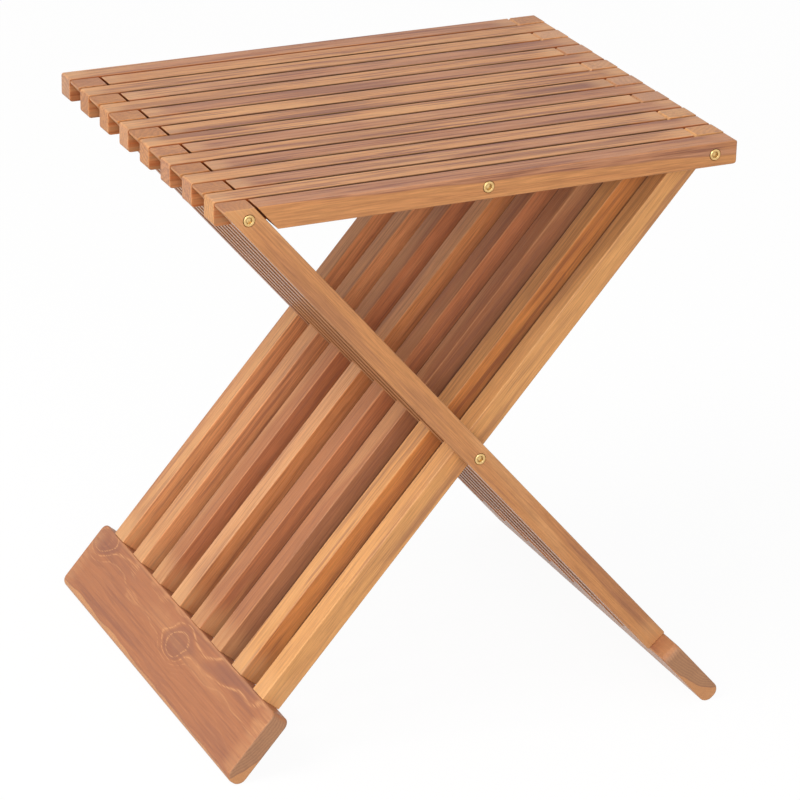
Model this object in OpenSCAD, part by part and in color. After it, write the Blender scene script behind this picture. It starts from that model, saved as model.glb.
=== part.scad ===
// Folding stool of square wooden battens: two crossed leg frames and a seat whose slats interleave with them.
// Frame A hinges at the left end of the seat and runs down to the right, and frame B is frame A turned half round.
// The origin is on the floor under the middle of the seat, X along the seat slats, Y across them, Z up.

/* [Seat] */
// Length of the seat from end to end
seat_length = 400; // [370:1:430]
// Height of the seat's top above the floor
seat_height = 445; // [425:1:465]
// Seat slats hinged at each end, and legs in each frame
slats_per_set = 8; // [6:1:9]
// Gap between neighbouring slats
slat_gap = 2.4; // [1.8:0.1:3.2]

/* [Battens] */
// Thickness of every batten across the stool
batten_t = 18; // [16:0.5:20]
// Height of a seat slat
slat_h = 18; // [16:0.5:20]
// Width of a leg seen from the front
leg_w = 18; // [16:0.5:20]
// Rounding of the long edges
edge_r = 1.5; // [0.8:0.1:2.5]
// Rounding of a seat slat's upper end corner
slat_top_r = 2; // [1:0.1:3]
// Rounding of a seat slat's lower end corner
slat_low_r = 3; // [1:0.1:4]
// Rounding of a leg's pointed top corner
leg_top_r = 1.5; // [0.5:0.1:2]
// Rounding of a slat's sloping end
mitre_r = 0.6; // [0.3:0.1:1]
// Gap between a slat's sloping end and the leg that stops it
mitre_gap = 1.8; // [0.6:0.1:2.4]

/* [Legs] */
// Distance from the end of the seat to the end hinge rods
rod_inset = 18; // [16:0.5:24]
// Height of the rod where the legs cross
crossing_h = 226.5; // [215:0.5:240]

/* [Foot boards] */
// Width of a foot board along the legs
board_w = 60; // [45:1:70]
// Thickness of a foot board
board_t = 16; // [15:0.5:20]
// How far a foot board runs past the outer leg of its frame
board_overhang = 22.5; // [10:0.5:24]
// Rounding of the edge that stands on the floor
board_nose_r = 7; // [3:0.5:7]
// Rounding of the upper edges
board_edge_r = 3; // [1:0.5:3.5]
// Rounding of the board's two upper corners
board_corner_r = 6; // [3:0.5:9]
// Rounding of the board's two lower corners
board_low_corner_r = 1.5; // [0.5:0.5:4]
// Tenon on the lower end of each leg, across the board
tenon_t = 8; // [6:0.5:9]
// Tenon along the board
tenon_w = 12; // [9:0.5:14]
// Tenon length
tenon_l = 28; // [15:1:35]

/* [Rods and caps] */
// Diameter of the four rods
rod_d = 6; // [5:0.5:7]
// Diameter of a cap's head
cap_d = 9.6; // [9.2:0.1:11]
// Thickness of a cap's head
cap_t = 1.6; // [1.4:0.1:2]
// How far a head stands out of the wood
cap_proud = 0.5; // [0.2:0.1:0.9]
// Rise of the slightly domed head from its rim
cap_dome = 0.3; // [0.1:0.05:0.4]
// Diameter of a cap's barrel
barrel_d = 8; // [7.6:0.1:8.4]
// Length of a cap's barrel behind its head
barrel_l = 10; // [8:0.5:12]
// Hexagon socket across its flats
socket_w = 4; // [3:0.1:4.4]
// Depth of the hexagon socket
socket_l = 2.4; // [1.8:0.1:2.6]
// Outer diameter of a spacer ring
spacer_d = 12; // [10:0.5:14]

/* [Clearances] */
// Radial running clearance of a rod or barrel in its bore
run_clear = 0.05; // [0.03:0.01:0.08]
// Clearance on each flat of a spacer, a pin end and under a head
face_clear = 0.2; // [0.1:0.05:0.3]
// Clearance round a head in its recess
head_clear = 0.15; // [0.1:0.05:0.3]
// Clearance round a tenon in its mortise
tenon_clear = 0.1; // [0.05:0.05:0.2]

/* [Hidden] */
edge_steps = 3;
corner_steps = 5;
nose_steps = 12;
round_fn = 48;
margin = 1;
places = 2 * slats_per_set;
pitch = batten_t + slat_gap;
seat_depth = places * batten_t + (places - 1) * slat_gap;
// Height of the rods in the seat, at the middle of a seat slat
seat_rod_h = seat_height - slat_h / 2;
// Distance of the end rods from the middle of the seat
rod_x = seat_length / 2 - rod_inset;
// Angle of a leg from upright
lean = atan(rod_x / (seat_rod_h - crossing_h));
// How far below the crossing rod a foot board ends, and where it starts
board_end = (crossing_h - board_nose_r - (board_t / 2 - board_nose_r) * sin(lean)) / cos(lean)
    + board_nose_r;
board_start = board_end - board_w;
board_length = (places - 2) * pitch + batten_t + 2 * board_overhang;
// Metal left between the socket and the rod in a cap
cap_web = 0.6;
// Half the length of a through rod, which stops short of that metal
rod_end = seat_depth / 2 + cap_proud - socket_l - cap_web - face_clear;

// Middle of a place across the seat, counted from 0 at the back
function place_y(index) = ((places - 1) / 2 - index) * pitch;
// Places of the slats and legs of set A
function slat_y(i) = place_y(2 * (i - 1));
function leg_y(i) = place_y(2 * i - 1);
function unit(v) = v / norm(v);
// A point beside leg A: up along it from the crossing rod, and out from its middle line
function by_leg(up, out) = [
    out * cos(lean) - up * sin(lean),
    crossing_h + up * cos(lean) + out * sin(lean)
];
// How far up leg A a line beside it meets a height
function up_at(height, out) = (height - crossing_h - out * sin(lean)) / cos(lean);
// An anticlockwise outline of [x, y, radius] corners, each rounded to its radius
function rounded(corners, steps) = [
    for (i = [0:len(corners) - 1])
        let (
            last = len(corners) - 1,
            here = [corners[i][0], corners[i][1]],
            before = corners[i == 0 ? last : i - 1],
            after = corners[i == last ? 0 : i + 1],
            a = unit([before[0], before[1]] - here),
            b = unit([after[0], after[1]] - here),
            half = acos(a * b) / 2,
            r = corners[i][2],
            centre = here + unit(a + b) * r / sin(half),
            start = here + a * r / tan(half) - centre
        )
        for (k = [0:steps])
            let (turn = k / steps * (180 - 2 * half))
            centre + [
                start[0] * cos(turn) - start[1] * sin(turn),
                start[0] * sin(turn) + start[1] * cos(turn)
            ]
];
function rounded_box(w, h, r, steps) = rounded(
    [[-w / 2, -h / 2, r], [w / 2, -h / 2, r], [w / 2, h / 2, r], [-w / 2, h / 2, r]], steps
);

// Stands an XZ outline up and gives it a thickness about y
module across(y, thick) {
    translate([0, y + thick / 2, 0]) rotate([90, 0, 0]) linear_extrude(thick) children();
}
// A round hole or bar along Y between two places
module round_y(x, z, d, from, to) {
    translate([x, to, z]) rotate([90, 0, 0]) cylinder(d = d, h = to - from, $fn = round_fn);
}
// The local frame of leg A: X out from it, Z up along it, at the crossing rod
module at_leg(y) {
    translate([0, y, crossing_h]) rotate([0, -lean, 0]) children();
}
// Recess for a cap whose head is in the face at y, with the wood on the side given by inward
module cap_recess(x, z, y, inward) {
    head_floor = y + inward * (cap_t - cap_proud + face_clear);
    barrel_floor = y + inward * (cap_t - cap_proud + barrel_l + face_clear);
    outside = y - inward * margin;
    round_y(x, z, cap_d + 2 * head_clear, min(outside, head_floor), max(outside, head_floor));
    round_y(x, z, barrel_d + 2 * run_clear, min(outside, barrel_floor), max(outside, barrel_floor));
}
// Through bore for a rod in a batten at y
module rod_bore(x, z, y) {
    round_y(x, z, rod_d + 2 * run_clear, y - batten_t / 2 - margin, y + batten_t / 2 + margin);
}

// A seat slat of set A: square end at the left, sloping end on the right that meets leg B
module seat_slat_shape(i) {
    y = slat_y(i);
    low = seat_height - slat_h;
    side = leg_w / 2 + mitre_gap;
    top_end = -by_leg(up_at(seat_height, side), side)[0];
    low_end = -by_leg(up_at(low, side), side)[0];
    outline = rounded([
        [-seat_length / 2, low, slat_low_r],
        [low_end, low, mitre_r],
        [top_end, seat_height, mitre_r],
        [-seat_length / 2, seat_height, slat_top_r]
    ], corner_steps);
    difference() {
        intersection() {
            across(y, batten_t) polygon(outline);
            translate([-seat_length, y, seat_height - slat_h / 2])
                rotate([90, 0, 90])
                linear_extrude(2 * seat_length)
                polygon(rounded_box(batten_t, slat_h, edge_r, edge_steps));
        }
        rod_bore(-rod_x, seat_rod_h, y);
        rod_bore(0, seat_rod_h, y);
        if (i == 1) {
            cap_recess(-rod_x, seat_rod_h, seat_depth / 2, -1);
            cap_recess(0, seat_rod_h, seat_depth / 2, -1);
        }
    }
}

// A leg of frame A: top cut level with the seat, square shoulder and tenon at the foot board
module leg_shape(i) {
    y = leg_y(i);
    half = leg_w / 2;
    foot_left = by_leg(-board_start, -half);
    foot_right = by_leg(-board_start, half);
    top_right = by_leg(up_at(seat_height, half), half);
    top_left = by_leg(up_at(seat_height, -half), -half);
    outline = rounded([
        [foot_left[0], foot_left[1], mitre_r],
        [foot_right[0], foot_right[1], mitre_r],
        [top_right[0], top_right[1], mitre_r],
        [top_left[0], top_left[1], leg_top_r]
    ], corner_steps);
    difference() {
        union() {
            intersection() {
                across(y, batten_t) polygon(outline);
                at_leg(y)
                    translate([0, 0, -seat_height])
                    linear_extrude(2 * seat_height)
                    polygon(rounded_box(leg_w, batten_t, edge_r, edge_steps));
            }
            at_leg(y)
                translate([-tenon_t / 2, -tenon_w / 2, -board_start - tenon_l])
                cube([tenon_t, tenon_w, tenon_l + margin]);
        }
        rod_bore(-rod_x, seat_rod_h, y);
        rod_bore(0, crossing_h, y);
        if (i == slats_per_set) {
            cap_recess(-rod_x, seat_rod_h, -seat_depth / 2, 1);
            cap_recess(0, crossing_h, -seat_depth / 2, 1);
        }
    }
}

// The foot board of frame A, with a mortise for each leg
module foot_board_shape() {
    half = board_t / 2;
    mid_y = (leg_y(1) + leg_y(slats_per_set)) / 2;
    end_left = by_leg(-board_end, -half);
    end_right = by_leg(-board_end, half);
    start_right = by_leg(-board_start, half);
    start_left = by_leg(-board_start, -half);
    long = board_length / 2;
    high = board_w / 2;
    section = rounded([
        [end_left[0], end_left[1], board_nose_r],
        [end_right[0], end_right[1], board_nose_r],
        [start_right[0], start_right[1], board_edge_r],
        [start_left[0], start_left[1], board_edge_r]
    ], nose_steps);
    face = rounded([
        [-long, -high, board_low_corner_r],
        [long, -high, board_low_corner_r],
        [long, high, board_corner_r],
        [-long, high, board_corner_r]
    ], corner_steps);
    difference() {
        intersection() {
            across(mid_y, board_length) polygon(section);
            at_leg(mid_y)
                translate([-board_t, 0, -board_end + high])
                rotate([90, 0, 90])
                linear_extrude(2 * board_t)
                polygon(face);
        }
        for (i = [1:slats_per_set])
            at_leg(leg_y(i))
                translate([
                    -tenon_t / 2 - tenon_clear,
                    -tenon_w / 2 - tenon_clear,
                    -board_start - tenon_l - tenon_clear
                ])
                cube([tenon_t + 2 * tenon_clear, tenon_w + 2 * tenon_clear, tenon_l + margin]);
    }
}

// Rod from cap to cap
module rod_shape(x, z) {
    round_y(x, z, rod_d, -rod_end, rod_end);
}
// Rings that keep neighbouring battens apart on a rod
module spacer_rings(x, z) {
    thick = slat_gap - 2 * face_clear;
    for (k = [0:places - 2]) {
        y = (place_y(k) + place_y(k + 1)) / 2;
        difference() {
            round_y(x, z, spacer_d, y - thick / 2, y + thick / 2);
            round_y(x, z, rod_d + 2 * run_clear, y - thick, y + thick);
        }
    }
}
// Cap with its head in the front face: domed head, hexagon socket and a barrel that takes the rod's end
module cap_front(x, z) {
    rim = cap_t - cap_dome;
    sphere_r = (pow(cap_d / 2, 2) + pow(cap_dome, 2)) / (2 * cap_dome);
    dome = [
        for (k = [0:corner_steps])
            let (r = cap_d / 2 * (1 - k / corner_steps))
            [r, rim + sqrt(pow(sphere_r, 2) - pow(r, 2)) - (sphere_r - cap_dome)]
    ];
    profile = concat([[0, -barrel_l], [barrel_d / 2, -barrel_l], [barrel_d / 2, 0], [cap_d / 2, 0]], dome);
    translate([x, -seat_depth / 2 - cap_proud + cap_t, z])
        rotate([90, 0, 0])
        difference() {
            rotate_extrude($fn = round_fn) polygon(profile);
            translate([0, 0, cap_t - socket_l])
                cylinder(d = socket_w / cos(30), h = socket_l + margin, $fn = 6);
            translate([0, 0, -barrel_l - margin])
                cylinder(
                    d = rod_d + 2 * run_clear,
                    h = barrel_l + margin + cap_t - socket_l - cap_web,
                    $fn = round_fn
                );
        }
}
// Stretch of the middle rod held by a seat slat of set A, with the gaps beside it
module middle_pins(reach) {
    for (i = [1:slats_per_set]) {
        outer_end = i == 1 ? rod_end : slat_y(i) + batten_t / 2 + reach;
        round_y(0, seat_rod_h, rod_d, slat_y(i) - batten_t / 2 - reach, outer_end);
    }
}
module half_turn() {
    rotate([0, 0, 180]) children();
}

module seat_slat_a(i) {
    color([0.80, 0.56, 0.36]) seat_slat_shape(i);
}
module seat_slat_b(i) {
    color([0.76, 0.50, 0.33]) half_turn() seat_slat_shape(i);
}
module leg_a(i) {
    color([0.74, 0.47, 0.28]) leg_shape(i);
}
module leg_b(i) {
    color([0.82, 0.60, 0.38]) half_turn() leg_shape(i);
}
module foot_board_a() {
    color([0.74, 0.49, 0.33]) foot_board_shape();
}
module foot_board_b() {
    color([0.74, 0.49, 0.33]) half_turn() foot_board_shape();
}
module rod_left() {
    color([0.62, 0.60, 0.56]) rod_shape(-rod_x, seat_rod_h);
}
module rod_right() {
    color([0.62, 0.60, 0.56]) rod_shape(rod_x, seat_rod_h);
}
module rod_crossing() {
    color([0.62, 0.60, 0.56]) rod_shape(0, crossing_h);
}
module rod_middle_a() {
    color([0.62, 0.60, 0.56]) middle_pins(slat_gap - face_clear);
}
module rod_middle_b() {
    color([0.62, 0.60, 0.56]) half_turn() middle_pins(0);
}
module spacers_left() {
    color([0.30, 0.22, 0.16]) spacer_rings(-rod_x, seat_rod_h);
}
module spacers_right() {
    color([0.30, 0.22, 0.16]) spacer_rings(rod_x, seat_rod_h);
}
module spacers_crossing() {
    color([0.30, 0.22, 0.16]) spacer_rings(0, crossing_h);
}
module spacers_middle() {
    color([0.30, 0.22, 0.16]) spacer_rings(0, seat_rod_h);
}
module cap_left_front() {
    color([0.90, 0.78, 0.50]) cap_front(-rod_x, seat_rod_h);
}
module cap_left_back() {
    color([0.90, 0.78, 0.50]) half_turn() cap_front(rod_x, seat_rod_h);
}
module cap_right_front() {
    color([0.90, 0.78, 0.50]) cap_front(rod_x, seat_rod_h);
}
module cap_right_back() {
    color([0.90, 0.78, 0.50]) half_turn() cap_front(-rod_x, seat_rod_h);
}
module cap_crossing_front() {
    color([0.90, 0.78, 0.50]) cap_front(0, crossing_h);
}
module cap_crossing_back() {
    color([0.90, 0.78, 0.50]) half_turn() cap_front(0, crossing_h);
}
module cap_middle_front() {
    color([0.90, 0.78, 0.50]) cap_front(0, seat_rod_h);
}
module cap_middle_back() {
    color([0.90, 0.78, 0.50]) half_turn() cap_front(0, seat_rod_h);
}

for (i = [1:slats_per_set])
    seat_slat_a(i);
for (i = [1:slats_per_set])
    seat_slat_b(i);
for (i = [1:slats_per_set])
    leg_a(i);
for (i = [1:slats_per_set])
    leg_b(i);
foot_board_a();
foot_board_b();
rod_left();
rod_right();
rod_crossing();
rod_middle_a();
rod_middle_b();
spacers_left();
spacers_right();
spacers_crossing();
spacers_middle();
cap_left_front();
cap_left_back();
cap_right_front();
cap_right_back();
cap_crossing_front();
cap_crossing_back();
cap_middle_front();
cap_middle_back();
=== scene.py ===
import math
import bmesh
import bpy
from mathutils import Matrix, Vector


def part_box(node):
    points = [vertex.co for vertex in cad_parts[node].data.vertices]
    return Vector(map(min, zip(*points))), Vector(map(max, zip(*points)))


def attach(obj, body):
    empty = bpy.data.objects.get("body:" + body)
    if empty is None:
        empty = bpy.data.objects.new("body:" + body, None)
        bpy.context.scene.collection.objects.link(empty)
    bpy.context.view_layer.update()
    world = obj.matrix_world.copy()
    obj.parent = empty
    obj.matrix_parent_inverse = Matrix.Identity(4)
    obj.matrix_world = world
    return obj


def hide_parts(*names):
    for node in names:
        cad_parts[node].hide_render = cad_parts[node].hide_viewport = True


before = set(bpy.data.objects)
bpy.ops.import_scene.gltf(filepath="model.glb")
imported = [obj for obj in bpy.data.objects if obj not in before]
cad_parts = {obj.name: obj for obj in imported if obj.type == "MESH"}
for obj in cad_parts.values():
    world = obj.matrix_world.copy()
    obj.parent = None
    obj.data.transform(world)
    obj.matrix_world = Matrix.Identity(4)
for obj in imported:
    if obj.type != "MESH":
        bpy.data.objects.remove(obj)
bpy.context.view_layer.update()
print("frame loaded:", len(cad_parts), "nodes")

scene = bpy.context.scene
mm = 0.001


def boxOf(node):
    low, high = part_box(node)
    return Vector(low), Vector(high)


def middleOf(node):
    low, high = boxOf(node)
    return (low + high) / 2


# What the frame gives: the seat's planes, the hinge rods' places and the slope of the legs
slatLow, slatHigh = boxOf("seat_slat_a_1")
battenThick = slatHigh.y - slatLow.y
slatHeight = slatHigh.z - slatLow.z
seatTop = slatHigh.z
seatEnd = -slatLow.x
setSize = sum(name.startswith("seat_slat_a_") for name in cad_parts)
rodX = -middleOf("rod_left").x
rodZ = middleOf("rod_left").z
crossZ = middleOf("rod_crossing").z
rodRadius = (boxOf("rod_left")[1].z - boxOf("rod_left")[0].z) / 2
capTop = boxOf("cap_left_back")[1].y
lean = math.atan2(rodX, rodZ - crossZ)
halfTurn = Matrix.Rotation(math.pi, 4, "Z")
pointed = math.pi / 2 - lean  # inner angles of a sloping cut's two corners
blunt = math.pi / 2 + lean

# Camera, as it stood for the photograph
photoView = {
    "azimuth": -25.45,
    "elevation": 23.45,
    "roll": 1.25,
    "right": 5.74 * mm,
    "up": -217.21 * mm,
    "distance": 2612.63 * mm,
    "lens": 159.4,
    "sensor": 36,
}


def placeCamera():
    azimuth, elevation, roll = (math.radians(photoView[key]) for key in ("azimuth", "elevation", "roll"))
    back = Vector((
        math.sin(azimuth) * math.cos(elevation),
        -math.cos(azimuth) * math.cos(elevation),
        math.sin(elevation),
    ))
    levelRight = Vector((math.cos(azimuth), math.sin(azimuth), 0))
    levelUp = back.cross(levelRight)
    right = math.cos(roll) * levelRight + math.sin(roll) * levelUp
    up = math.cos(roll) * levelUp - math.sin(roll) * levelRight
    lens = bpy.data.cameras.new("photoCamera")
    lens.lens = photoView["lens"]
    lens.sensor_width = photoView["sensor"]
    camera = bpy.data.objects.new("photoCamera", lens)
    scene.collection.objects.link(camera)
    turn = Matrix((right, up, back)).transposed().to_4x4()
    offset = right * photoView["right"] + up * photoView["up"] + back * photoView["distance"]
    camera.matrix_world = Matrix.Translation(Vector((0, 0, seatTop)) + offset) @ turn
    scene.camera = camera


placeCamera()
print("camera placed")


# Shader helpers
def paint(red, green, blue):
    def linear(value):
        value = value / 255
        return value / 12.92 if value <= 0.04045 else ((value + 0.055) / 1.055) ** 2.4
    return (linear(red), linear(green), linear(blue), 1)


def plug(tree, socket, value):
    if isinstance(value, bpy.types.NodeSocket):
        tree.links.new(value, socket)
    else:
        socket.default_value = value


def calc(tree, operation, first, second=0.0, clamp=False):
    node = tree.nodes.new("ShaderNodeMath")
    node.operation = operation
    node.use_clamp = clamp
    plug(tree, node.inputs[0], first)
    plug(tree, node.inputs[1], second)
    return node.outputs[0]


def calcVector(tree, operation, first, second=(0, 0, 0)):
    node = tree.nodes.new("ShaderNodeVectorMath")
    node.operation = operation
    plug(tree, node.inputs[0], first)
    plug(tree, node.inputs[1], second)
    return node.outputs["Value" if operation in ("LENGTH", "DOT_PRODUCT") else "Vector"]


def stretch(tree, vector, scale):
    return calcVector(tree, "MULTIPLY", vector, scale)


def enlarge(tree, vector, amount):
    node = tree.nodes.new("ShaderNodeVectorMath")
    node.operation = "SCALE"
    plug(tree, node.inputs[0], vector)
    plug(tree, node.inputs["Scale"], amount)
    return node.outputs["Vector"]


def noise(tree, vector, detail, roughness=0.5, output="Fac"):
    node = tree.nodes.new("ShaderNodeTexNoise")
    node.inputs["Scale"].default_value = 1
    node.inputs["Detail"].default_value = detail
    node.inputs["Roughness"].default_value = roughness
    plug(tree, node.inputs["Vector"], vector)
    return node.outputs[output]


def split(tree, vector):
    node = tree.nodes.new("ShaderNodeSeparateXYZ")
    plug(tree, node.inputs[0], vector)
    return node.outputs


def fade(tree, value, start, stop, low=0.0, high=1.0):
    node = tree.nodes.new("ShaderNodeMapRange")
    node.interpolation_type = "SMOOTHSTEP"
    plug(tree, node.inputs["Value"], value)
    plug(tree, node.inputs["From Min"], start)
    plug(tree, node.inputs["From Max"], stop)
    node.inputs["To Min"].default_value = low
    node.inputs["To Max"].default_value = high
    return node.outputs["Result"]


def blendColour(tree, amount, first, second, kind="MIX"):
    node = tree.nodes.new("ShaderNodeMix")
    node.data_type = "RGBA"
    node.blend_type = kind
    plug(tree, node.inputs["Factor"], amount)
    plug(tree, node.inputs[6], first)
    plug(tree, node.inputs[7], second)
    return node.outputs[2]


def newGroup(name, inputs, outputs):
    tree = bpy.data.node_groups.new(name, "ShaderNodeTree")
    for socketName, kind, value in inputs:
        socket = tree.interface.new_socket(name=socketName, in_out="INPUT", socket_type=kind)
        socket.default_value = value
    for socketName, kind in outputs:
        tree.interface.new_socket(name=socketName, in_out="OUTPUT", socket_type=kind)
    start = tree.nodes.new("NodeGroupInput")
    end = tree.nodes.new("NodeGroupOutput")
    return tree, start.outputs, end.inputs


# Solid teak, cut from a round stem: rings about a pith that lies outside the batten, streaks, fibres,
# pores, broad patches, pale sapwood past one ring, end grain, edges paled by wear and a painted highlight,
# and painted shade on the sides between battens. Lengths are millimetres.
# Each pattern's cells per millimetre along the grain and across it, then its detail and roughness
teakGrain = {
    "streak": (0.008, 0.26, 3, 0.55),
    "thread": (0.013, 0.60, 2, 0.6),
    "fibre": (0.05, 1.3, 2, 0.5),
    "pore": (0.20, 4.5, 1, 0.5),
    "patch": (0.006, 0.05, 2, 0.5),
}
# Where each mask begins and where it is full
teakRange = {
    "lateRise": (0.2, 0.85),
    "lateFall": (0.93, 1),
    "pore": (0.60, 0.70),
    "golden": (0.30, 0.46),
    "stained": (0.50, 0.68),
    "darkThread": (0.58, 0.64),
    "darkStreak": (0.58, 0.62),
    "endCut": (0.55, 0.95),
    "heart": (-0.3, 0.6),
    "sapwood": (-0.4, 0.4),
    "sapLine": (0, 0.7),
    "paleLine": (0, 0.45),
    "paleBreak": (0.38, 0.58),
    "paleFade": (1.5, 4),
    "side": (0.45, 0.85),
    "gapSide": (0.40, 0.75),
    "gapEdge": (0.60, 0.78),
    "gapEnd": (0.80, 0.88),
    "fibre": (0.28, 0.72),
    "corner": (0.88, 0.97),
    "wearBreak": (0.35, 0.6),
    "roughness": (0.3, 0.7),
}
# How much each effect counts
teakAmount = {
    "noiseMiddle": 0.5,
    "wanderDetail": 2,
    "dipShape": (0.8, 1, 0),
    "streak": 2.6,
    "thread": 1.8,
    "stainedStreak": 0.45,
    "darkThread": 0.7,
    "endRing": 0.30,
    "heart": 0.4,
    "sapFigure": 0.45,
    "sapLine": 0.4,
    "farPaleLine": 0.15,
    # The colour of the painted shade in the gaps between battens
    "gapColour": (0.02, 0.01, 0.006, 1),
    "fibreTone": (0.82, 1.10),
    "pore": 0.20,
    "leastWear": 0.3,
    "wear": 0.42,
    "roughness": (0.44, 0.56),
    "wearGloss": -0.08,
    "fibreHeight": 0.5,
    "poreDepth": 0.6,
    "ringDepth": 0.15,
}


def buildTeakGroup():
    tree, given, result = newGroup(
        "teakWood",
        [
            ("Vector", "NodeSocketVector", (0, 0, 0)),
            ("Normal", "NodeSocketVector", (0, 0, 1)),
            ("Grain", "NodeSocketVector", (1, 0, 0)),
            ("Half", "NodeSocketVector", (1, 1, 1)),
            ("Seed", "NodeSocketVector", (0, 0, 0)),
            ("Pith", "NodeSocketVector", (0, 40, 30)),
            ("Drift", "NodeSocketVector", (0, 0, 0)),
            ("Figure", "NodeSocketVector", (0.006, 0.03, 0.03)),
            ("First Dip", "NodeSocketVector", (0, 0, 10)),
            ("Second Dip", "NodeSocketVector", (0, 0, 10)),
            ("Light", "NodeSocketColor", (1, 1, 1, 1)),
            ("Dark", "NodeSocketColor", (0, 0, 0, 1)),
            ("Stain", "NodeSocketColor", (0, 0, 0, 1)),
            ("Sapwood", "NodeSocketColor", (1, 1, 1, 1)),
            ("End", "NodeSocketColor", (1, 1, 1, 1)),
            ("Side", "NodeSocketColor", (1, 1, 1, 1)),
            ("Warp", "NodeSocketFloat", 18.0),
            ("Ring Gap", "NodeSocketFloat", 4.0),
            ("Rings", "NodeSocketFloat", 0.5),
            ("Pale Lines", "NodeSocketFloat", 0.0),
            ("Streaks", "NodeSocketFloat", 0.5),
            ("Depth", "NodeSocketFloat", 0.2),
            ("Staining", "NodeSocketFloat", 0.5),
            ("Gold", "NodeSocketFloat", 0.3),
            ("Heart Radius", "NodeSocketFloat", 0.0),
            ("Sap Radius", "NodeSocketFloat", 500.0),
            ("Dip Depth", "NodeSocketFloat", 0.0),
            ("End Amount", "NodeSocketFloat", 0.3),
            ("Gap Shade", "NodeSocketFloat", 0.0),
            ("Fibres", "NodeSocketFloat", 1.0),
        ],
        [("Color", "NodeSocketColor"), ("Roughness", "NodeSocketFloat"), ("Height", "NodeSocketFloat")],
    )
    amount = teakAmount
    inMm = stretch(tree, given["Vector"], (1 / mm,) * 3)
    seeded = calcVector(tree, "ADD", inMm, given["Seed"])

    def grain(pattern):
        length, width, detail, roughness = teakGrain[pattern]
        return noise(tree, stretch(tree, seeded, (length, width, width)), detail, roughness)

    def ramp(name, value, low=0.0, high=1.0):
        return fade(tree, value, *teakRange[name], low, high)

    def times(first, second):
        return calc(tree, "MULTIPLY", first, second)

    # Rings, wandering slowly along the batten
    middle = amount["noiseMiddle"]
    wander = calcVector(tree, "MULTIPLY", seeded, given["Figure"])
    wander = noise(tree, wander, amount["wanderDetail"], output="Color")
    wander = enlarge(tree, calcVector(tree, "SUBTRACT", wander, (middle,) * 3), given["Warp"])
    section = calcVector(tree, "ADD", inMm, wander)
    section = calcVector(tree, "ADD", section, enlarge(tree, given["Drift"], split(tree, inMm)["X"]))
    fromPith = stretch(tree, calcVector(tree, "SUBTRACT", section, given["Pith"]), (0, 1, 1))
    radius = calcVector(tree, "LENGTH", fromPith)
    # Two places where the rings dip, so that islands show on a wide face: along, across and size
    for dip in ("First Dip", "Second Dip"):
        away = stretch(tree, calcVector(tree, "SUBTRACT", section, given[dip]), amount["dipShape"])
        inDip = fade(tree, calcVector(tree, "LENGTH", away), 0, split(tree, given[dip])["Z"], 1, 0)
        radius = calc(tree, "SUBTRACT", radius, times(inDip, given["Dip Depth"]))
    ring = calc(tree, "FRACT", calc(tree, "DIVIDE", radius, given["Ring Gap"]))
    lateWood = times(ramp("lateRise", ring), ramp("lateFall", ring, 1, 0))

    streak, thread, fibre = grain("streak"), grain("thread"), grain("fibre")
    pore = ramp("pore", grain("pore"))
    patch = grain("patch")
    streakOff = calc(tree, "SUBTRACT", streak, middle)
    threadOff = calc(tree, "SUBTRACT", thread, middle)
    lines = calc(tree, "ADD", times(streakOff, amount["streak"]), times(threadOff, amount["thread"]))
    depth = calc(tree, "ADD", given["Depth"], times(lines, given["Streaks"]))
    depth = calc(tree, "ADD", depth, times(lateWood, given["Rings"]), clamp=True)
    colour = blendColour(tree, depth, given["Light"], given["Dark"])

    # Patches along the batten: some golden, some purple-brown, and dark threads
    golden = times(ramp("golden", patch, 1, 0), given["Gold"])
    colour = blendColour(tree, golden, colour, given["Sapwood"])
    stained = calc(tree, "ADD", patch, times(streakOff, amount["stainedStreak"]))
    colour = blendColour(tree, times(ramp("stained", stained), given["Staining"]), colour, given["Stain"])
    threads = calc(tree, "MAXIMUM", ramp("darkThread", thread), ramp("darkStreak", streak))
    threads = times(times(threads, given["Streaks"]), amount["darkThread"])
    colour = blendColour(tree, threads, colour, given["Stain"])

    # End grain, where a face is cut across the fibres
    facing = calc(tree, "ABSOLUTE", calcVector(tree, "DOT_PRODUCT", given["Normal"], given["Grain"]))
    endCut = ramp("endCut", facing)
    colour = blendColour(tree, times(endCut, given["End Amount"]), colour, given["End"])
    colour = blendColour(tree, times(times(endCut, lateWood), amount["endRing"]), colour, given["Stain"])

    # Heartwood inside one radius is purple-brown, and sapwood begins past another, behind a dark line
    toHeart = calc(tree, "SUBTRACT", given["Heart Radius"], radius)
    colour = blendColour(tree, ramp("heart", toHeart, 0, amount["heart"]), colour, given["Stain"])
    past = calc(tree, "SUBTRACT", radius, given["Sap Radius"])
    sapColour = blendColour(tree, times(depth, amount["sapFigure"]), given["Sapwood"], given["Dark"])
    colour = blendColour(tree, ramp("sapwood", past), colour, sapColour)
    sapLine = ramp("sapLine", calc(tree, "ABSOLUTE", past), amount["sapLine"], 0)
    colour = blendColour(tree, sapLine, colour, given["Stain"])

    # Pale broken lines where one ring ends
    toRing = times(calc(tree, "PINGPONG", ring, 0.5), given["Ring Gap"])
    paleLine = times(ramp("paleLine", toRing, 1, 0), given["Pale Lines"])
    paleLine = times(paleLine, ramp("paleBreak", fibre))
    paleLine = times(paleLine, ramp("paleFade", calc(tree, "ABSOLUTE", toHeart), 1, amount["farPaleLine"]))
    colour = blendColour(tree, paleLine, colour, given["Sapwood"])
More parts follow.
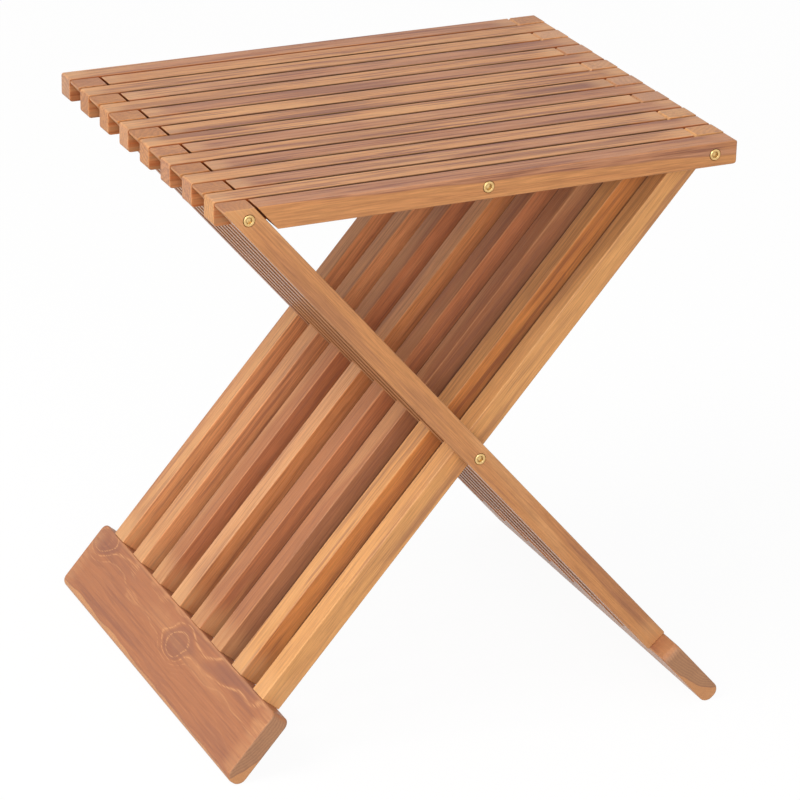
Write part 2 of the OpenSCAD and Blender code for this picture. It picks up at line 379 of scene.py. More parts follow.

    # The sides between battens are multiplied by a side tone: painted shade that darkens them, and for some
    # legs painted light that lifts them. They also get a darker painted shade along the edge that shows in
    # a narrow gap, short of the ends that stand free
    share = calcVector(tree, "DIVIDE", inMm, given["Half"])
    x, y, z = split(tree, calcVector(tree, "ABSOLUTE", share))
    sideTurn = calc(tree, "ABSOLUTE", split(tree, given["Normal"])["Y"])
    sideShadeColour = blendColour(tree, 1.0, colour, given["Side"], "MULTIPLY")
    colour = blendColour(tree, ramp("side", sideTurn), colour, sideShadeColour)
    # Painted shade: a dark band along the edge of a side that shows in a narrow gap
    gapShadeMask = times(ramp("gapSide", sideTurn), ramp("gapEdge", split(tree, share)["Z"]))
    gapShadeMask = times(gapShadeMask, ramp("gapEnd", x, 1, 0))
    colour = blendColour(tree, times(gapShadeMask, given["Gap Shade"]), colour, amount["gapColour"])

    # Fibres and pores
    fibreTone = ramp("fibre", fibre, *amount["fibreTone"])
    colour = blendColour(tree, given["Fibres"], colour, fibreTone, "MULTIPLY")
    colour = blendColour(tree, times(pore, amount["pore"]), colour, given["Stain"])

    # Edges, paler where they are handled, with a painted highlight along them
    onEnd = times(x, calc(tree, "MAXIMUM", y, z))
    corner = calc(tree, "MAXIMUM", times(y, z), onEnd)
    wearAndHighlight = times(ramp("corner", corner), ramp("wearBreak", streak, amount["leastWear"], 1))
    colour = blendColour(tree, times(wearAndHighlight, amount["wear"]), colour, given["Sapwood"])

    tree.links.new(colour, result["Color"])
    rough = ramp("roughness", fibre, *amount["roughness"])
    tree.links.new(calc(tree, "ADD", rough, times(wearAndHighlight, amount["wearGloss"])), result["Roughness"])
    height = calc(tree, "SUBTRACT", times(fibre, amount["fibreHeight"]), times(pore, amount["poreDepth"]))
    height = calc(tree, "SUBTRACT", height, times(lateWood, amount["ringDepth"]))
    tree.links.new(height, result["Height"])
    return tree


teakGroup = buildTeakGroup()

woodTones = {
    "straw": paint(226, 172, 118),
    "sand": paint(216, 160, 116),
    "tan": paint(207, 149, 102),
    "honey": paint(220, 160, 100),
    "amber": paint(204, 142, 90),
    "rose": paint(189, 134, 101),
    "clay": paint(180, 120, 82),
    "russet": paint(166, 105, 68),
    "plum": paint(134, 88, 74),
    "greyTan": paint(180, 138, 104),
    "leather": paint(172, 117, 80),
    "fawn": paint(196, 150, 116),
    "cream": paint(214, 170, 138),
    "brick": paint(176, 116, 82),
    # These multiply the sides between battens: the darker ones are painted shade, the one above 1 is
    # painted light, and clear leaves them
    "deep": paint(252, 226, 200),
    "shaded": paint(206, 147, 101),
    "clear": paint(255, 255, 255),
    "lifted": (1.25, 1.1, 1, 1),
}


def shaderStart(name):
    material = bpy.data.materials.new(name)
    material.use_nodes = True
    tree = material.node_tree
    return material, tree, tree.nodes["Principled BSDF"]


teakFinish = {
    "bumpDepth": 0.12 * mm,
    "bumpStrength": 0.6,
    "specular": 0.22,
    "grazing": (0.90, 0.98),
    "coat": 0.26,
    "coatRoughness": 0.2,
}
seedSteps = (137.3, 71.9, 43.1)


def keyOf(socketName):
    # "Pale Lines" is paleLines in a look
    return socketName[0].lower() + socketName[1:].replace(" ", "")


def makeTeak(name, place, half, look, seed):
    # place turns the batten's own frame, grain along X and middle at zero, into the object's
    material, tree, surface = shaderStart(name)
    back = place.inverted()
    coordinates = tree.nodes.new("ShaderNodeTexCoord")
    mapping = tree.nodes.new("ShaderNodeMapping")
    mapping.inputs["Location"].default_value = back.translation
    mapping.inputs["Rotation"].default_value = back.to_euler()
    tree.links.new(coordinates.outputs["Object"], mapping.inputs["Vector"])
    wood = tree.nodes.new("ShaderNodeGroup")
    wood.node_tree = teakGroup
    tree.links.new(mapping.outputs["Vector"], wood.inputs["Vector"])
    tree.links.new(coordinates.outputs["Normal"], wood.inputs["Normal"])
    wood.inputs["Grain"].default_value = place.to_3x3() @ Vector((1, 0, 0))
    wood.inputs["Half"].default_value = [side / mm for side in half]
    wood.inputs["Seed"].default_value = [seed * step for step in seedSteps]
    for socket in wood.inputs:
        key = keyOf(socket.name)
        if key in look:
            socket.default_value = woodTones[look[key]] if socket.type == "RGBA" else look[key]
    bump = tree.nodes.new("ShaderNodeBump")
    bump.inputs["Distance"].default_value = teakFinish["bumpDepth"]
    bump.inputs["Strength"].default_value = teakFinish["bumpStrength"]
    tree.links.new(wood.outputs["Height"], bump.inputs["Height"])
    tree.links.new(wood.outputs["Color"], surface.inputs["Base Color"])
    tree.links.new(wood.outputs["Roughness"], surface.inputs["Roughness"])
    tree.links.new(bump.outputs["Normal"], surface.inputs["Normal"])
    surface.inputs["Specular IOR Level"].default_value = teakFinish["specular"]
    # Faces seen almost edge on mirror what lies beyond them
    graze = tree.nodes.new("ShaderNodeLayerWeight")
    coat = fade(tree, graze.outputs["Facing"], *teakFinish["grazing"], 0, teakFinish["coat"])
    tree.links.new(coat, surface.inputs["Coat Weight"])
    surface.inputs["Coat Roughness"].default_value = teakFinish["coatRoughness"]
    return material


# Fittings: two tones in small patches, and painted shade on the brass between depths below a cap's top, on
# the socket's walls and the head's low slope
patchSpan = (0.2, 0.8)
patchDetail = 3
fittingLooks = {
    "satinBrass": {
        "scale": 900,
        "patchRange": (0.3, 0.7),
        "light": paint(238, 204, 144),
        "dark": paint(214, 174, 112),
        "roughness": (0.32, 0.46),
        "metallic": 1,
        "tarnish": paint(112, 88, 50),
        "tarnishAmount": 0.75,
        "tarnishFoot": (-1.75 * mm, -1.6 * mm),
        "tarnishTop": (-0.6 * mm, -0.35 * mm),
    },
    "zincSteel": {
        "scale": 400,
        "light": paint(196, 194, 188),
        "dark": paint(160, 158, 154),
        "roughness": (0.30, 0.48),
        "metallic": 1,
    },
    "darkNylon": {
        "scale": 700,
        "light": paint(84, 62, 46),
        "dark": paint(60, 44, 34),
        "roughness": (0.45, 0.6),
        "metallic": 0,
    },
}


def makeFitting(name):
    look = fittingLooks[name]
    material, tree, surface = shaderStart(name)
    spot = tree.nodes.new("ShaderNodeTexCoord").outputs["Object"]
    patches = noise(tree, stretch(tree, spot, (look["scale"],) * 3), patchDetail)
    share = fade(tree, patches, *look["patchRange"]) if "patchRange" in look else patches
    colour = blendColour(tree, share, look["light"], look["dark"])
    # Painted shade: a dark band on the socket's walls and the low slope of the head
    if "tarnish" in look:
        depth = calc(tree, "SUBTRACT", calc(tree, "ABSOLUTE", split(tree, spot)["Y"]), capTop)
        foot, top = fade(tree, depth, *look["tarnishFoot"]), fade(tree, depth, *look["tarnishTop"], 1, 0)
        tarnish = calc(tree, "MULTIPLY", calc(tree, "MULTIPLY", foot, top), look["tarnishAmount"])
        colour = blendColour(tree, tarnish, colour, look["tarnish"])
    tree.links.new(colour, surface.inputs["Base Color"])
    tree.links.new(fade(tree, patches, *patchSpan, *look["roughness"]), surface.inputs["Roughness"])
    surface.inputs["Metallic"].default_value = look["metallic"]
    return material


brass, steel, nylon = (makeFitting(name) for name in fittingLooks)
print("materials ready")


# Mesh helpers
straight = 0.9  # an edge runs along an axis when this share of its direction does
hair = mm / 10  # a spot this near a plane lies on it
overcut = mm  # how far a cutting tool stands out of what it cuts
sharpAngle = math.radians(38)


def newPiece(name, bm):
    mesh = bpy.data.meshes.new(name)
    bm.to_mesh(mesh)
    bm.free()
    piece = bpy.data.objects.new(name, mesh)
    scene.collection.objects.link(piece)
    return piece


def block(size, middle):
    bm = bmesh.new()
    bmesh.ops.create_cube(bm, size=1)
    bmesh.ops.scale(bm, vec=size, verts=bm.verts)
    bmesh.ops.translate(bm, vec=middle, verts=bm.verts)
    return bm


def cutOff(bm, point, normal):
    everything = bm.verts[:] + bm.edges[:] + bm.faces[:]
    cut = bmesh.ops.bisect_plane(bm, geom=everything, plane_co=point, plane_no=normal, clear_outer=True)
    rim = [part for part in cut["geom_cut"] if isinstance(part, bmesh.types.BMEdge)]
    bmesh.ops.contextual_create(bm, geom=rim)
    bmesh.ops.recalc_face_normals(bm, faces=bm.faces)


def turned(profile, place, steps):
    # Turns a profile of (radius, height) points round Z
    bm = bmesh.new()
    points = [bm.verts.new((radius, 0, height)) for radius, height in profile]
    edges = [bm.edges.new(pair) for pair in zip(points, points[1:])]
    bmesh.ops.spin(bm, geom=points + edges, axis=(0, 0, 1), cent=(0, 0, 0), angle=2 * math.pi, steps=steps,
                   use_merge=True)
    bmesh.ops.remove_doubles(bm, verts=bm.verts, dist=1e-6)
    bmesh.ops.recalc_face_normals(bm, faces=bm.faces)
    bmesh.ops.transform(bm, matrix=place, verts=bm.verts)
    return bm


def rounded(radius, inner):
    # Width of the rounding that gives this radius at a corner of this inner angle
    return radius / math.tan(inner / 2)


def weighEdges(bm, widest, widthOf):
    # The Bevel modifier takes each edge's own width as a share of the widest
    layer = bm.edges.layers.float.new("bevel_weight_edge")
    for edge in bm.edges:
        first, second = (vert.co for vert in edge.verts)
        edge[layer] = widthOf((first + second) / 2, (second - first).normalized()) / widest


def shapePiece(piece, cutters, widest=0, segments=4):
    if widest:
        rounding = piece.modifiers.new("rounding", "BEVEL")
        rounding.limit_method = "WEIGHT"
        rounding.width = widest
        rounding.segments = segments
        rounding.use_clamp_overlap = False
    for cutter in cutters:
        cut = piece.modifiers.new("cut", "BOOLEAN")
        cut.operation = "DIFFERENCE"
        cut.solver = "EXACT"
        cut.object = cutter
    graph = bpy.context.evaluated_depsgraph_get()
    mesh = bpy.data.meshes.new_from_object(piece.evaluated_get(graph))
    piece.modifiers.clear()
    piece.data = mesh
    for cutter in cutters:
        bpy.data.objects.remove(cutter)


def finishPiece(piece, place, material, body, node):
    mesh = piece.data
    mesh.transform(place)
    mesh.shade_smooth()
    mesh.set_sharp_from_angle(angle=sharpAngle)
    mesh.materials.clear()
    mesh.materials.append(material)
    weighting = piece.modifiers.new("evenShading", "WEIGHTED_NORMAL")
    weighting.keep_sharp = True
    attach(piece, body)
    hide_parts(node)


# Bores and cap recesses, cut with turned tools that point along +Y from the face they enter
boreSize = {
    "rod": rodRadius + 0.05 * mm,
    "barrel": 4.05 * mm,
    "head": 4.55 * mm,
    "mouth": 4.8 * mm,
    "mouthDeep": 0.25 * mm,
    "headDeep": 1.3 * mm,
    "barrelDeep": 11.3 * mm,
    "steps": 40,
}


def boreTool(x, z, y, inward=0):
    # A through bore about the batten at y, with a cap's recess where inward is +1 or -1
    size = boreSize
    past = battenThick / 2 + overcut
    if inward:
        face = -battenThick / 2
        profile = [
            (0, face - overcut),
            (size["mouth"], face - overcut),
            (size["mouth"], face),
            (size["head"], face + size["mouthDeep"]),
            (size["head"], face + size["headDeep"]),
            (size["barrel"], face + size["headDeep"]),
            (size["barrel"], face + size["barrelDeep"]),
            (size["rod"], face + size["barrelDeep"]),
            (size["rod"], past),
            (0, past),
        ]
    else:
        profile = [(0, -past), (size["rod"], -past), (size["rod"], past), (0, past)]
    tilt = Matrix.Rotation(-math.pi / 2 if inward >= 0 else math.pi / 2, 4, "X")
    return newPiece("boreTool", turned(profile, Matrix.Translation((x, y, z)) @ tilt, size["steps"]))


def sideOf(letter):
    return Matrix.Identity(4) if letter == "a" else halfTurn


# Seat slats: square end with its own corner radii, sloping end that meets a leg
slatSize = {
    "edge": 1.0 * mm,
    "topCorner": 2.0 * mm,
    "lowCorner": 3.0 * mm,
    "endEdge": 1.1 * mm,
    "mitre": 0.4 * mm,
    "mitreGap": 1.5 * mm,
}
spare = 2 * mm  # what a batten's sloping cut takes off


def makeSlat(letter, index, look, seed):
    node = "seat_slat_%s_%d" % (letter, index)
    middle = sideOf(letter) @ middleOf(node)
    mitreAway = (legSize["wide"] / 2 + slatSize["mitreGap"]) / math.cos(lean)
    mitreTop = (seatTop - crossZ) * math.tan(lean) - mitreAway
    length = mitreTop + seatEnd
    centre = Vector((mitreTop - length / 2, middle.y, middle.z))
    bm = block((length + 2 * spare, battenThick, slatHeight), centre + Vector((spare, 0, 0)))
    slope = Vector((math.cos(lean), 0, -math.sin(lean)))
    cutOff(bm, (mitreTop, 0, seatTop), slope)

    def widthOf(spot, way):
        if abs(way.x) > straight:
            return slatSize["edge"]
        if spot.x > 0:
            inner = pointed if spot.z > middle.z else blunt
            return rounded(slatSize["mitre"], inner) if abs(way.y) > straight else slatSize["mitre"]
        if abs(way.z) > straight:
            return slatSize["endEdge"]
        return slatSize["topCorner"] if spot.z > middle.z else slatSize["lowCorner"]

    weighEdges(bm, slatSize["lowCorner"], widthOf)
    piece = newPiece("slat%s%d" % (letter.upper(), index), bm)
    outer = -1 if index == 1 else 0
    tools = [boreTool(x, rodZ, middle.y, outer) for x in (-rodX, 0)]
    shapePiece(piece, tools, slatSize["lowCorner"])
    place = sideOf(letter)
    half = (length / 2, battenThick / 2, slatHeight / 2)
    whole = place @ Matrix.Translation(centre)
    material = makeTeak("teakSlat%s%d" % (letter.upper(), index), whole, half, look, seed)
    finishPiece(piece, place, material, "seat_" + letter, node)


# Legs: a tenon in the foot board and a top cut level with the seat
legSize = {
    "wide": 18 * mm,
    "edge": 1.1 * mm,
    "point": 1.5 * mm,
    "top": 0.6 * mm,
    "shoulder": 0.7 * mm,
}
# The leg's own frame: X up along it from the crossing, Y across the stool, Z down to the outside
legFrame = Matrix((
    (-math.sin(lean), 0, -math.cos(lean), 0),
    (0, 1, 0, 0),
    (math.cos(lean), 0, -math.sin(lean), crossZ),
    (0, 0, 0, 1),
))


def makeLeg(letter, index, look, seed):
    node = "leg_%s_%d" % (letter, index)
    y = (sideOf(letter).inverted() @ middleOf(node)).y
    halfWide = legSize["wide"] / 2
    top = (seatTop - crossZ + halfWide * math.sin(lean)) / math.cos(lean)
    length = top + footStart
    centre = Vector((top - length / 2, y, 0))
    bm = block((length + 2 * spare, battenThick, legSize["wide"]), centre + Vector((spare, 0, 0)))
    # Shoulder and tenon
    bottom = min(bm.faces, key=lambda face: face.calc_center_median().x)
    rim = (battenThick - footSize["tenonWide"]) / 2
    bmesh.ops.inset_region(bm, faces=[bottom], thickness=rim, use_even_offset=True)
    squeeze = footSize["tenonThick"] / (legSize["wide"] - 2 * rim)
    bmesh.ops.scale(bm, vec=(1, 1, squeeze), verts=bottom.verts)
    grown = bmesh.ops.extrude_face_region(bm, geom=[bottom])
    tips = [part for part in grown["geom"] if isinstance(part, bmesh.types.BMVert)]
    bmesh.ops.translate(bm, vec=(-footSize["tenonLong"], 0, 0), verts=tips)
    bmesh.ops.delete(bm, geom=[bottom], context="FACES")
    level = Vector((math.cos(lean), 0, -math.sin(lean)))
    cutOff(bm, ((seatTop - crossZ) / math.cos(lean), 0, 0), level)

    widest = rounded(legSize["point"], pointed)

    def widthOf(spot, way):
        if spot.x < -footStart - hair:
            return 0
        if spot.x < -footStart + hair:
            outerRim = abs(spot.z) > halfWide - hair or abs(spot.y - y) > battenThick / 2 - hair
            return legSize["shoulder"] if outerRim else 0
        if abs(way.x) > straight:
            return legSize["edge"]
        if abs(way.y) < straight:
            return legSize["top"]
        return widest if spot.z > 0 else rounded(legSize["top"], blunt)

    weighEdges(bm, widest, widthOf)
    piece = newPiece("leg%s%d" % (letter.upper(), index), bm)
    piece.data.transform(legFrame)
    outer = 1 if index == setSize else 0
    tools = [boreTool(x, z, y, outer) for x, z in ((-rodX, rodZ), (0, crossZ))]
    shapePiece(piece, tools, widest)
    place = sideOf(letter)
    half = (length / 2, battenThick / 2, halfWide)
    whole = place @ legFrame @ Matrix.Translation(centre)
    material = makeTeak("teakLeg%s%d" % (letter.upper(), index), whole, half, look, seed)
    finishPiece(piece, place, material, "frame_" + letter, node)


# Foot boards: straight ends, small upper corners, a round nose on the floor and a mortise for each leg
footSize = {
    "wide": 60 * mm,
    "thick": 16 * mm,
    "nose": 7 * mm,
    "edge": 1.5 * mm,
    "corner": 6 * mm,
    "steps": 10,
    "tenonThick": 8 * mm,
    "tenonWide": 12 * mm,
    "tenonLong": 28 * mm,
    "tenonRoom": 0.1 * mm,
}
noseFlat = footSize["thick"] / 2 - footSize["nose"]
footEnd = (crossZ - footSize["nose"] - noseFlat * math.sin(lean)) / math.cos(lean) + footSize["nose"]
footStart = footEnd - footSize["wide"]

# The foot board's own frame: X along the board, Y up along the legs, Z outwards through it
footFrame = Matrix((
    (0, -math.sin(lean), math.cos(lean), 0),
    (1, 0, 0, 0),
    (0, math.cos(lean), math.sin(lean), crossZ),
    (0, 0, 0, 1),
))


def makeFootBoard(letter, look, seed):
    node = "foot_board_" + letter
    size = footSize
    low, high = boxOf("foot_board_a")
    length = high.y - low.y
    centre = Vector((middleOf("foot_board_a").y, -footEnd + size["wide"] / 2, 0))
    bm = block((length, size["wide"], size["thick"]), centre)

    # The upper corners and the round nose that stands on the floor come first, the rims after them
    def wayOf(edge):
        return (edge.verts[1].co - edge.verts[0].co).normalized()

    def isLow(edge):
        return (edge.verts[0].co.y + edge.verts[1].co.y) / 2 < centre.y

    corners = [edge for edge in bm.edges if abs(wayOf(edge).z) > straight and not isLow(edge)]
    nose = [edge for edge in bm.edges if abs(wayOf(edge).x) > straight and isLow(edge)]
    for edges, radius in ((corners, size["corner"]), (nose, size["nose"])):
        bmesh.ops.bevel(bm, geom=edges, offset=radius, offset_type="OFFSET", affect="EDGES",
                        segments=size["steps"], profile=0.5, material=-1)

    def widthOf(spot, way):
        onEnd = abs(spot.x - centre.x) > length / 2 - hair
        onFace = abs(spot.z) > size["thick"] / 2 - hair
        onRim = onFace if spot.y > centre.y else onEnd
        return size["edge"] if onRim else 0

    weighEdges(bm, size["edge"], widthOf)
    piece = newPiece("footBoard" + letter.upper(), bm)
    mortises = bmesh.new()
    room = size["tenonRoom"]
    hole = (size["tenonWide"] + 2 * room, size["tenonLong"] + room + overcut, size["tenonThick"] + 2 * room)
    for index in range(1, setSize + 1):
        legY = middleOf("leg_a_%d" % index).y
        spot = (legY, -footStart + overcut - hole[1] / 2, 0)
        tool = Matrix.Translation(spot) @ Matrix.Diagonal((*hole, 1))
        bmesh.ops.create_cube(mortises, size=1, matrix=tool)
    shapePiece(piece, [newPiece("mortises", mortises)], size["edge"])
    place = sideOf(letter) @ footFrame
    half = (length / 2, size["wide"] / 2, size["thick"] / 2)
    material = makeTeak("teakFoot" + letter.upper(), place @ Matrix.Translation(centre), half, look, seed)
    finishPiece(piece, place, material, "frame_" + letter, node)


# Caps: a turned brass head and barrel with a hexagon socket
capSize = {
    "head": 4.4 * mm,
    "barrel": 4.0 * mm,
    "headThick": 1.6 * mm,
    "barrelLong": 10 * mm,
    "rim": 0.35 * mm,
    "crest": 3.35 * mm,
    "dish": 0.3 * mm,
    "lip": 0.1 * mm,
    "socket": 4.0 * mm,
    "socketDeep": 1.9 * mm,
    "leadIn": 0.45 * mm,
    "web": 0.6 * mm,
    "roundSteps": 8,
    "steps": 64,
    "leadInSteps": 48,
    "boreSteps": 40,
}


def makeCap(name, node, body):
    low, high = boxOf(node)
    spot = (low + high) / 2
    front = spot.y < 0
    face = low.y if front else high.y
    size = capSize
    top, end, dish = size["headThick"], -size["barrelLong"], size["headThick"] - size["dish"]
    wide = size["socket"] / 2
    profile = [(0, end), (size["barrel"], end), (size["barrel"], 0), (size["head"], 0)]
    for step in range(size["roundSteps"] + 1):
        turn = math.pi / 2 * step / size["roundSteps"]
        out = size["crest"] + (size["head"] - size["crest"]) * math.cos(turn)
        profile.append((out, size["rim"] + (top - size["rim"]) * math.sin(turn)))
    profile += [(wide + size["leadIn"], top - size["lip"]), (wide, dish), (0, dish)]
    upright = Matrix.Identity(4)
    outwards = Matrix.Rotation(math.pi / 2 if front else -math.pi / 2, 4, "X")
    place = Matrix.Translation((spot.x, face, spot.z)) @ outwards @ Matrix.Translation((0, 0, -top))
    piece = newPiece(name, turned(profile, upright, size["steps"]))
    # The socket, its sloping mouth and the bore for the rod
    across = wide / math.cos(math.pi / 6)
    floor = top - size["socketDeep"]
    hexagon = bmesh.new()
    bmesh.ops.create_cone(hexagon, cap_ends=True, segments=6, radius1=across, radius2=across,
                          depth=2 * top, matrix=Matrix.Translation((0, 0, floor + top)))
    foot, rise = dish - size["leadIn"], 2 * size["leadIn"]
    leadIn = [(0, foot), (wide, foot), (wide + rise, foot + rise), (0, foot + rise)]
    web = floor - size["web"]
    bore = boreSize["rod"]
    inside = [(0, end - overcut), (bore, end - overcut), (bore, web), (0, web)]
    tools = [
        newPiece("socketTool", hexagon),
        newPiece("leadInTool", turned(leadIn, upright, size["leadInSteps"])),
        newPiece("barrelTool", turned(inside, upright, size["boreSteps"])),
    ]
    shapePiece(piece, tools)
    finishPiece(piece, place, brass, body, node)


print("shapes described")

# Looks: what each batten of the photograph shows, from the back of the seat to the front for set A and
# from the front to the back for set B. A look without a pith gets one turned about it by its seed.
plainLook = {
    "light": "tan",
    "dark": "clay",
    "stain": "plum",
    "sapwood": "straw",
    "end": "tan",
    # The side tone is painted shade on the sides between battens
    "side": "deep",
    "firstDip": (0, 0, 10),
    "secondDip": (0, 0, 10),
    "dipDepth": 0,
    "heartRadius": 0,
    "gapShade": 0,
    "drift": (0, 0.01, 0.006),
    "figure": (0.006, 0.03, 0.03),
    "warp": 18,
    "rings": 0.25,
    "paleLines": 0,
    "streaks": 0.5,
    "depth": 0.15,
    "staining": 0.35,
    "gold": 0.3,
    "sapRadius": 500,
    "endAmount": 0.2,
    "fibres": 1,
}
slatLook = {
    **plainLook,
    "side": "shaded",
    # Painted shade along the top edge of the sides, where they show in the gaps
    "gapShade": 0.85,
    "staining": 0.5,
    "streaks": 0.9,
    "gold": 0.4,
    "end": "amber",
    "endAmount": 0.5,
}
# A heart that lies past one edge of the top draws a dark wavy band along that edge: purple-brown heartwood,
# and painted shadow of the neighbouring slat
backHeartAndShadow = {
    "light": "rose",
    "dark": "russet",
    "pith": (0, -20, 21),
    "heartRadius": 17,
    "warp": 22,
    "ringGap": 5,
}
slatLooks = {
    "a": [
        {"light": "rose", "dark": "russet", "end": "fawn", "endAmount": 0.7, "gapShade": 0},
        {"depth": 0.1},
        {"depth": 0.1},
        {"depth": 0.1, "end": "sand", "endAmount": 0.6},
        {"staining": 0.7},
        {"end": "rose"},
        {"end": "rose"},
        {"depth": 0.1, "end": "honey", "endAmount": 0.8},
    ],
    "b": [
        {"light": "rose", "dark": "russet", "pith": (0, -30, 30), "sapRadius": 46.5, "drift": (0, 0, -0.03),
         "ringGap": 4, "warp": 7, "side": "clear", "sapwood": "amber", "gapShade": 0, "depth": 0.2,
         "staining": 0.25},
        backHeartAndShadow,
        {**backHeartAndShadow, "depth": 0.25, "pith": (0, -18, 22)},
        {**backHeartAndShadow, "depth": 0.2, "heartRadius": 19},
        {"depth": 0.3, "staining": 0.7},
        {**backHeartAndShadow, "depth": 0.2, "heartRadius": 18},
        {**backHeartAndShadow, "pith": (0, -17, 21)},
        {"depth": 0.35, "staining": 0.7},
    ],
}
# Legs other than the outermost take painted shade along the lower outer edge of their sides, where the next
# leg shades them
legLook = {**plainLook, "end": "leather", "endAmount": 0.8, "streaks": 0.4, "gapShade": 0.6, "fibres": 0.8}
legLooks = {
    "a": [
        {"light": "rose", "dark": "russet", "endAmount": 1},
        {"light": "amber", "dark": "russet"},
        {"light": "amber", "dark": "russet"},
        {"light": "amber", "dark": "russet"},
        {"light": "amber", "dark": "russet", "end": "rose", "endAmount": 0.6},
        {"light": "amber", "dark": "russet", "endAmount": 1},
        {"light": "amber", "dark": "russet", "endAmount": 1},
        {"light": "amber", "dark": "clay", "streaks": 0.25, "rings": 0.12, "side": "clear", "endAmount": 1,
         "gapShade": 0},
    ],
    "b": [
        {"light": "honey", "dark": "amber", "end": "rose", "side": "clear", "streaks": 0.25, "depth": 0.1,
         "gapShade": 0},
        {"light": "honey", "dark": "clay", "end": "fawn"},
        {"light": "clay", "dark": "russet", "end": "cream", "side": "clear", "depth": 0.2, "staining": 0.1},
        {"light": "clay", "dark": "russet", "end": "cream", "side": "lifted", "depth": 0.1,
         "staining": 0.1},
        {"light": "sand", "dark": "amber", "end": "fawn", "depth": 0.25},
        {"light": "clay", "dark": "russet", "end": "cream", "side": "lifted", "depth": 0.2, "staining": 0.1,
         "endAmount": 0.95},
        {"end": "cream", "side": "lifted", "depth": 0.05},
        {"end": "leather", "side": "lifted", "depth": 0.05, "staining": 0.2},
    ],
}

boardLook = {
    **plainLook,
    "light": "brick",
    "dark": "russet",
    "sapwood": "tan",
    "side": "clear",
    "figure": (0.012, 0.03, 0.03),
    "warp": 12,
    "pith": (0, 21, 68),
    "ringGap": 2.2,
    "rings": 0.12,
    "paleLines": 0.8,
    "depth": 0.25,
    "streaks": 0.35,
    "fibres": 0.4,
    "sapRadius": 77,
    "heartRadius": 58.8,
    "firstDip": (-157, 15, 24),
    "secondDip": (17, 0, 28),
    "dipDepth": 6,
    "end": "greyTan",
    "endAmount": 0.7,
}
footLooks = {
    "a": {"light": "leather", "staining": 0.6, "firstDip": (60, 10, 30)},
    "b": {},
}


# The pith's place and the rings' width, for looks that don't give them
pithChoice = {"turn": 2.4, "nearest": 28, "step": 9, "steps": 5}
ringChoice = {"narrowest": 2.6, "step": 0.6, "steps": 4}
legSeed, boardSeed = 40, 80


def lookOf(common, own, seed):
    turn = pithChoice["turn"] * seed
    reach = pithChoice["nearest"] + pithChoice["step"] * (seed % pithChoice["steps"])
    pith = (0, reach * math.cos(turn), reach * math.sin(turn))
    ringGap = ringChoice["narrowest"] + ringChoice["step"] * (seed % ringChoice["steps"])
    return {"pith": pith, "ringGap": ringGap, **common, **own}


seed = 1
for letter in ("a", "b"):
    for index in range(1, setSize + 1):
        seed += 1
        makeSlat(letter, index, lookOf(slatLook, slatLooks[letter][index - 1], seed), seed)
        ownSeed = seed + legSeed
        makeLeg(letter, index, lookOf(legLook, legLooks[letter][index - 1], ownSeed), ownSeed)
    ownSeed = seed + boardSeed
    makeFootBoard(letter, lookOf(boardLook, footLooks[letter], ownSeed), ownSeed)
    print("frame and slats of set", letter, "made")

capBodies = {
    "capLeftFront": ("cap_left_front", "frame_a"),
    "capLeftBack": ("cap_left_back", "frame_a"),
    "capRightFront": ("cap_right_front", "frame_b"),
    "capRightBack": ("cap_right_back", "frame_b"),
    "capCrossingFront": ("cap_crossing_front", "frame_b"),
    "capCrossingBack": ("cap_crossing_back", "frame_b"),
    "capMiddleFront": ("cap_middle_front", "seat_b"),
    "capMiddleBack": ("cap_middle_back", "seat_a"),
}
for name, (node, body) in capBodies.items():
    makeCap(name, node, body)
for node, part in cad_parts.items():
    if node.startswith("rod_") or node.startswith("spacers_"):
        part.material_slots[0].material = steel if node.startswith("rod_") else nylon
print("caps, rods and spacers dressed")


# Studio: white floor that keeps a faint shadow, a large soft lamp from the upper left, a lower one that
# reaches under the seat, a frontal fill and an even sky
studio = {
    "floorSize": 14,
    "floorColour": paint(196, 194, 192),
    "floorRoughness": 0.9,
    "floorGlow": 0.90,
    "floorLight": 1.05,
    "sky": 0.50,
    "keyPower": 57,
    "keySize": 1.8,
    "keyPlace": (-2.08, -0.38, 2.68),
    "sidePower": 12,
    "sideSize": 0.6,
    "sidePlace": (-2.9, -0.12, 0.52),
    "fillPower": 39,
    "fillSize": 1.4,
    "fillPlace": (-0.92, -2.77, 1.26),
    "aim": (0, 0, 0.28),
}


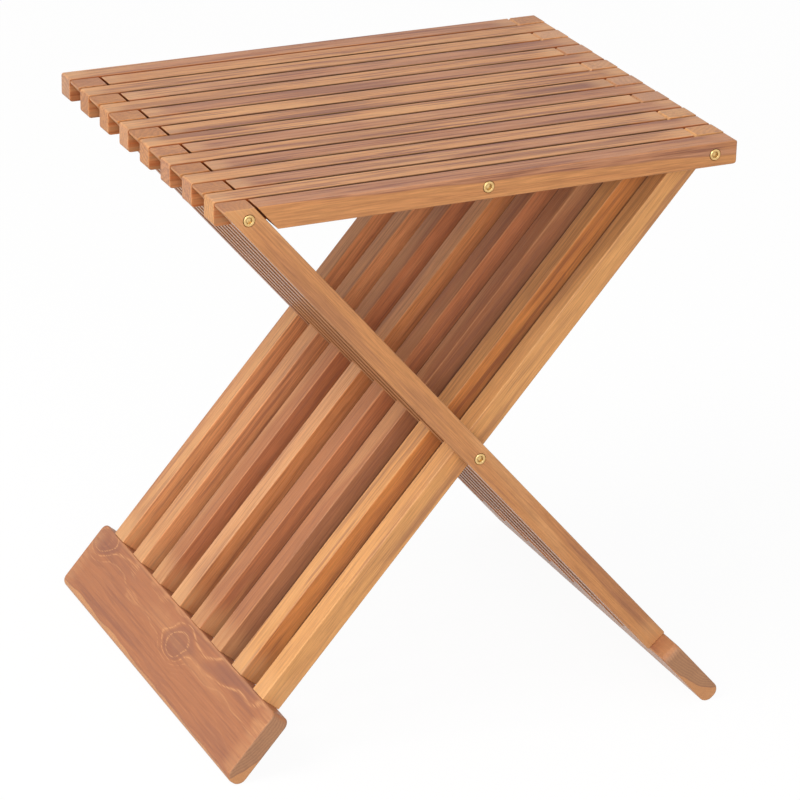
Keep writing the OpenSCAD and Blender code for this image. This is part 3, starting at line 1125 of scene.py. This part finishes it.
def seenDirectly(tree):
    # 1 for what the camera, gloss or glass shows, 0 for light that falls on the object
    path = tree.nodes.new("ShaderNodeLightPath")
    shown = calc(tree, "MAXIMUM", path.outputs["Is Camera Ray"], path.outputs["Is Glossy Ray"])
    return calc(tree, "MAXIMUM", shown, path.outputs["Is Transmission Ray"])


def makeFloor():
    bm = bmesh.new()
    bmesh.ops.create_grid(bm, x_segments=1, y_segments=1, size=studio["floorSize"] / 2)
    floor = newPiece("studioFloor", bm)
    material, tree, surface = shaderStart("studioWhite")
    surface.inputs["Base Color"].default_value = studio["floorColour"]
    surface.inputs["Roughness"].default_value = studio["floorRoughness"]
    glow = tree.nodes.new("ShaderNodeEmission")
    glow.inputs["Strength"].default_value = studio["floorLight"]
    mixed = tree.nodes.new("ShaderNodeMixShader")
    share = calc(tree, "MULTIPLY", seenDirectly(tree), studio["floorGlow"])
    tree.links.new(share, mixed.inputs["Fac"])
    tree.links.new(surface.outputs["BSDF"], mixed.inputs[1])
    tree.links.new(glow.outputs["Emission"], mixed.inputs[2])
    tree.links.new(mixed.outputs["Shader"], tree.nodes["Material Output"].inputs["Surface"])
    floor.data.materials.append(material)


def makeSky():
    world = bpy.data.worlds.new("studioSky")
    world.use_nodes = True
    tree = world.node_tree
    sky = tree.nodes["Background"]
    sky.inputs["Color"].default_value = (1, 1, 1, 1)
    strength = calc(tree, "MAXIMUM", seenDirectly(tree), studio["sky"])
    tree.links.new(strength, sky.inputs["Strength"])
    scene.world = world


def makeLamp(name):
    data = bpy.data.lights.new(name, "AREA")
    data.energy = studio[name + "Power"]
    data.shape = "DISK"
    data.size = studio[name + "Size"]
    lamp = bpy.data.objects.new(name + "Lamp", data)
    scene.collection.objects.link(lamp)
    spot = Vector(studio[name + "Place"])
    turn = (spot - Vector(studio["aim"])).to_track_quat("Z", "Y").to_matrix().to_4x4()
    lamp.matrix_world = Matrix.Translation(spot) @ turn


makeFloor()
makeSky()
for name in ("key", "side", "fill"):
    makeLamp(name)
scene.view_settings.view_transform = "Standard"
print("studio lit")
